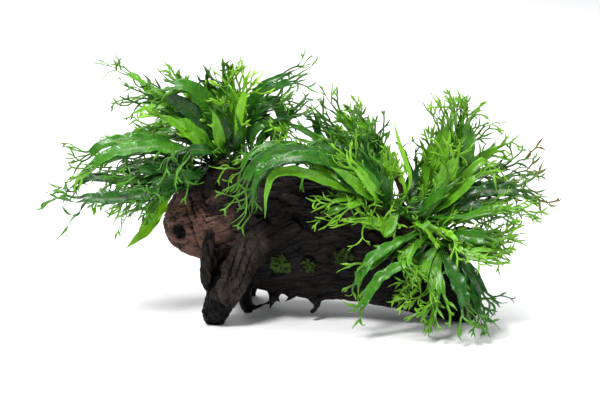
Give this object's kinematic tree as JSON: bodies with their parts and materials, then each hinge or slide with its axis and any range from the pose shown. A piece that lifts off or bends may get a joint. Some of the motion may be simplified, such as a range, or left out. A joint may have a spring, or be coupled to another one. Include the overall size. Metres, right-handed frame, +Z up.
{
  "type": "java fern on driftwood",
  "caption": "Driftwood log on a broken leg and roots, with clumps of arching fern leaves whose tips fork into lace, for planting out an aquarium.",
  "frame": {"origin": "on the floor, under the middle of the whole object's box", "axes": "+X to the right along the log, from its thick end to its thin end; +Y to the back; +Z up"},
  "size_m": [0.5246, 0.2022, 0.2714],
  "materials": {
    "wood_dark": "wet dark brown driftwood",
    "wood_grey": "wet grey-brown driftwood",
    "rhizome": "green-brown creeping stem",
    "moss": "soft green tufts",
    "leaf_dark": "glossy dark green leaf",
    "leaf_mid": "glossy mid green leaf",
    "leaf_light": "light green leaf",
    "leaf_yellow": "yellow-green leaf"
  },
  "bodies": {
    "root": {"broken_prong": "wood_grey", "elbow_root": "wood_dark", "front_leg": "wood_grey", "left_big_arch": "leaf_mid", "left_bright_upright": "leaf_yellow", "left_brown_arch": "leaf_mid", "left_dark_arch": "leaf_dark", "left_dark_crest": "leaf_dark", "left_dark_mid": "leaf_dark", "left_far_reach": "leaf_light", "left_front_droop": "leaf_dark", "left_hanging_yellow": "leaf_yellow", "left_light_mid": "leaf_light", "left_low_reach": "leaf_dark", "left_quilted_arch": "leaf_mid", "left_rear_dark": "leaf_dark", "left_short_pale": "leaf_light", "left_wide_upright": "leaf_mid", "log": "wood_dark", "mid_big_arch": "leaf_mid", "mid_bright_front": "leaf_light", "mid_bright_upright": "leaf_light", "mid_cluster": "leaf_dark", "mid_curved_dark": "leaf_dark", "mid_dark_wide": "leaf_dark", "mid_front_fork": "leaf_light", "mid_front_spray": "leaf_light", "mid_left_lace": "leaf_light", "mid_long_hanging": "leaf_mid", "mid_long_one": "leaf_mid", "mid_long_two": "leaf_light", "mid_low_wide": "leaf_dark", "mid_narrow_reach": "leaf_mid", "mid_under_arch": "leaf_light", "mid_yellow_narrow": "leaf_yellow", "moss_front_dark": "moss", "moss_front_large": "moss", "moss_front_right": "moss", "moss_ridge": "moss", "rear_root": "wood_dark", "rhizome_left": "rhizome", "rhizome_middle": "rhizome", "rhizome_right": "rhizome", "right_bright_fork": "leaf_light", "right_droop_a": "leaf_mid", "right_droop_b": "leaf_mid", "right_folded": "leaf_mid", "right_hanging": "leaf_dark", "right_lace_low": "leaf_light", "right_long": "leaf_dark", "right_low_leaf": "leaf_light", "right_low_reach": "leaf_light", "right_low_tip": "leaf_light", "right_mid_fan": "leaf_mid", "right_pale_fork": "leaf_light", "right_rear_crest": "leaf_mid", "right_red_tip": "leaf_mid", "right_tall": "leaf_light", "right_wide_bright": "leaf_light", "top_stub": "wood_grey"}
  },
  "joints": []
}
